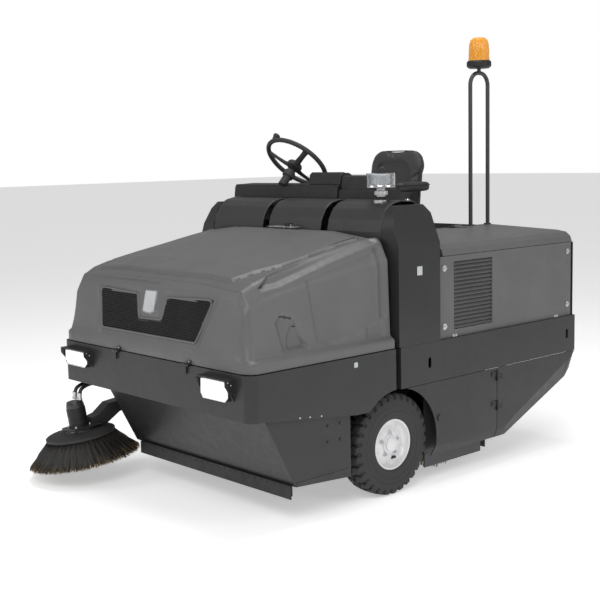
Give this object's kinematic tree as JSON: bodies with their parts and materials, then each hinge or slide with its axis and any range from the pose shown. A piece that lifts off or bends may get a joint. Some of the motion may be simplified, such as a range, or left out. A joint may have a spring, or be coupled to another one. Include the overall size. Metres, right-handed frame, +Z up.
{
  "type": "ride-on sweeper",
  "caption": "Ride-on sweeper with lifting front hopper, side brush, driven main brush, rear steering, operator seat and beacon mast.",
  "frame": {"origin": "middle of the bounding box's base, on the floor", "axes": "+X to the machine's left, +Y to its rear, +Z up"},
  "size_m": [1.6207, 2.4484, 2.145],
  "materials": {
    "dark_steel": "satin textured coat",
    "black_cover": "fine grained moulding",
    "dark_grey_cover": "fine grained moulding",
    "grey_cover": "satin moulding",
    "grey_steel": "satin coat",
    "mesh_black": "perforated",
    "frame_paint": "satin",
    "cast_metal": "as cast",
    "tyre_rubber": "matt",
    "rim_silver": "satin silver",
    "seal_rubber": "matt",
    "seat_vinyl": "soft vinyl",
    "bristle": "bristle",
    "amber_lens": "clear amber",
    "clear_lens": "clear",
    "lamp_lens": "bright reflector",
    "chromed": "polished",
    "zinc_steel": "zinc plated",
    "grip_black": "smooth",
    "hose_black": "smooth"
  },
  "bodies": {
    "chassis": {"chassis_frame": "frame_paint", "floor_deck": "frame_paint", "skirt_left": "dark_steel", "skirt_right": "dark_steel", "rear_side_left": "dark_steel", "lower_side_right": "dark_steel", "rear_panel": "dark_steel", "arch_side_left": "dark_steel", "arch_side_right": "dark_steel", "arch_covers": "dark_grey_cover", "dash_panel": "black_cover", "instrument_cowl": "black_cover", "side_console": "black_cover", "seat_box": "dark_steel", "louvre_panel": "grey_steel", "engine_block": "cast_metal", "beacon_mast": "frame_paint", "beacon_base": "black_cover", "beacon_dome": "amber_lens", "air_pipe": "zinc_steel", "air_bowl": "clear_lens", "air_lid": "chromed", "roller_tunnel": "frame_paint", "steering_column": "black_cover"},
    "lift": {"lift_arms": "frame_paint"},
    "hopper": {"hopper_bin": "dark_steel", "filter_box": "frame_paint", "hopper_bumper": "dark_steel", "headlamp_left": "lamp_lens", "headlamp_right": "lamp_lens"},
    "hood": {"front_hood": "grey_cover", "hood_grille": "mesh_black"},
    "latch": {"hood_latch": "chromed"},
    "lid": {"engine_lid": "grey_cover"},
    "door": {"roller_door": "dark_steel"},
    "wheel_left": {"tyre_left": "tyre_rubber", "rim_left": "rim_silver"},
    "wheel_right": {"tyre_right": "tyre_rubber", "rim_right": "rim_silver"},
    "fork": {"rear_fork": "frame_paint"},
    "drive_wheel": {"rear_wheel": "tyre_rubber"},
    "steering": {"steering_wheel": "grip_black"},
    "spinner": {"spinner_knob": "grip_black"},
    "roller_frame": {"roller_arms": "frame_paint"},
    "roller": {"roller_brush": "bristle"},
    "brush_arm": {"side_brush_arm": "frame_paint", "side_brush_hoses": "hose_black"},
    "brush": {"side_brush_rotor": "bristle"},
    "seat": {"seat_cushion": "seat_vinyl", "seat_back": "seat_vinyl"},
    "armrest": {"seat_armrest": "seat_vinyl"},
    "drive_pedal": {"drive_pedal": "zinc_steel"},
    "brake_pedal": {"brake_pedal": "zinc_steel"},
    "control_lever": {"control_lever": "grip_black"},
    "parking_lever": {"parking_lever": "chromed"},
    "reflector": {"beacon_reflector": "chromed"},
    "lock_1": {"panel_lock_1": "zinc_steel"},
    "lock_2": {"panel_lock_2": "zinc_steel"},
    "lock_3": {"panel_lock_3": "zinc_steel"},
    "lock_4": {"panel_lock_4": "zinc_steel"}
  },
  "joints": [
    {"name": "lift", "type": "hinge", "parent": "chassis", "child": "lift", "pos_m": [0.11035, 0.00921, 1.18], "axis": [-1, 0, 0], "range_deg": [0, 95]},
    {"name": "hopper_tilt", "type": "hinge", "parent": "lift", "child": "hopper", "pos_m": [0.11035, -0.20279, 0.552], "axis": [-1, 0, 0], "range_deg": [-57, 0]},
    {"name": "hood_hinge", "type": "hinge", "parent": "hopper", "child": "hood", "pos_m": [0.12435, -1.00279, 0.677], "axis": [1, 0, 0], "range_deg": [0, 50]},
    {"name": "latch_pivot", "type": "hinge", "parent": "hood", "child": "latch", "pos_m": [0.12335, -0.17479, 1.205], "axis": [1, 0, 0], "range_deg": [0, 60]},
    {"name": "lid_hinge", "type": "hinge", "parent": "chassis", "child": "lid", "pos_m": [0.26235, 0.70321, 1.141], "axis": [0, -1, 0], "range_deg": [0, 70]},
    {"name": "door_hinge", "type": "hinge", "parent": "chassis", "child": "door", "pos_m": [0.80435, 0.56721, 0.38], "axis": [0, 0, 1], "range_deg": [0, 105]},
    {"name": "wheel_left_spin", "type": "hinge", "parent": "chassis", "child": "wheel_left", "pos_m": [0.70635, -0.14079, 0.2345], "axis": [1, 0, 0], "continuous": true},
    {"name": "wheel_right_spin", "type": "hinge", "parent": "chassis", "child": "wheel_right", "pos_m": [-0.52965, -0.14079, 0.2345], "axis": [1, 0, 0], "continuous": true},
    {"name": "fork_swivel", "type": "hinge", "parent": "chassis", "child": "fork", "pos_m": [0.08835, 0.93921, 0.48], "axis": [0, 0, 1], "range_deg": [-70, 70]},
    {"name": "drive_wheel_spin", "type": "hinge", "parent": "fork", "child": "drive_wheel", "pos_m": [0.08835, 0.93921, 0.2], "axis": [1, 0, 0], "continuous": true},
    {"name": "steering_turn", "type": "hinge", "parent": "chassis", "child": "steering", "pos_m": [-0.18165, 0.16821, 1.5], "axis": [0, 0.682, 0.7314], "range_deg": [-280, 280]},
    {"name": "spinner_turn", "type": "hinge", "parent": "steering", "child": "spinner", "pos_m": [-0.22513, 0.06317, 1.6253], "axis": [0, 0.682, 0.7314], "continuous": true},
    {"name": "roller_lift", "type": "hinge", "parent": "chassis", "child": "roller_frame", "pos_m": [0.08835, 0.51421, 0.41], "axis": [-1, 0, 0], "range_deg": [0, 6]},
    {"name": "roller_spin", "type": "hinge", "parent": "roller_frame", "child": "roller", "pos_m": [0.08835, 0.32921, 0.207], "axis": [1, 0, 0], "continuous": true},
    {"name": "brush_arm_lower", "type": "hinge", "parent": "chassis", "child": "brush_arm", "pos_m": [-0.53765, -0.47579, 0.352], "axis": [1, 0, 0], "range_deg": [0, 4.2]},
    {"name": "brush_spin", "type": "hinge", "parent": "brush_arm", "child": "brush", "pos_m": [-0.53565, -0.94979, 0.09], "axis": [-0.0969, -0.107, 0.9895], "continuous": true},
    {"name": "seat_slide", "type": "slide", "parent": "chassis", "child": "seat", "axis": [0, 1, 0], "range_m": [-0.07, 0.06]},
    {"name": "armrest_fold", "type": "hinge", "parent": "seat", "child": "armrest", "pos_m": [0.04035, 0.91121, 1.352], "axis": [-1, 0, 0], "range_deg": [0, 95]},
    {"name": "drive_pedal_travel", "type": "hinge", "parent": "chassis", "child": "drive_pedal", "pos_m": [-0.33165, 0.31921, 0.676], "axis": [1, 0, 0], "range_deg": [0, 18], "stiffness_Nm_per_rad": 8, "springref_deg": -11.46},
    {"name": "brake_pedal_travel", "type": "hinge", "parent": "chassis", "child": "brake_pedal", "pos_m": [-0.11165, 0.31921, 0.676], "axis": [1, 0, 0], "range_deg": [0, 18], "stiffness_Nm_per_rad": 12, "springref_deg": -11.46},
    {"name": "control_lever_travel", "type": "hinge", "parent": "chassis", "child": "control_lever", "pos_m": [0.47335, 0.13421, 1.382], "axis": [1, 0, 0], "range_deg": [-25, 25], "stiffness_Nm_per_rad": 1.5},
    {"name": "parking_lever_travel", "type": "hinge", "parent": "chassis", "child": "parking_lever", "pos_m": [0.05835, 0.76421, 0.96], "axis": [-1, 0, 0], "range_deg": [0, 30]},
    {"name": "reflector_turn", "type": "hinge", "parent": "chassis", "child": "reflector", "pos_m": [0.23835, 1.13221, 2.03], "axis": [0, 0, 1], "continuous": true},
    {"name": "lock_1_turn", "type": "hinge", "parent": "chassis", "child": "lock_1", "pos_m": [0.78335, 0.19321, 1.004], "axis": [1, 0, 0], "range_deg": [0, 90]},
    {"name": "lock_2_turn", "type": "hinge", "parent": "chassis", "child": "lock_2", "pos_m": [0.78335, 0.19321, 0.733], "axis": [1, 0, 0], "range_deg": [0, 90]},
    {"name": "lock_3_turn", "type": "hinge", "parent": "chassis", "child": "lock_3", "pos_m": [0.78335, 1.17021, 1.012], "axis": [1, 0, 0], "range_deg": [0, 90]},
    {"name": "lock_4_turn", "type": "hinge", "parent": "chassis", "child": "lock_4", "pos_m": [0.78335, 1.17021, 0.736], "axis": [1, 0, 0], "range_deg": [0, 90]}
  ],
  "couplings": [
    {"joint": "hopper_tilt", "follows": "lift", "ratio": -0.6},
    {"joint": "steering_turn", "follows": "fork_swivel", "ratio": -4}
  ]
}
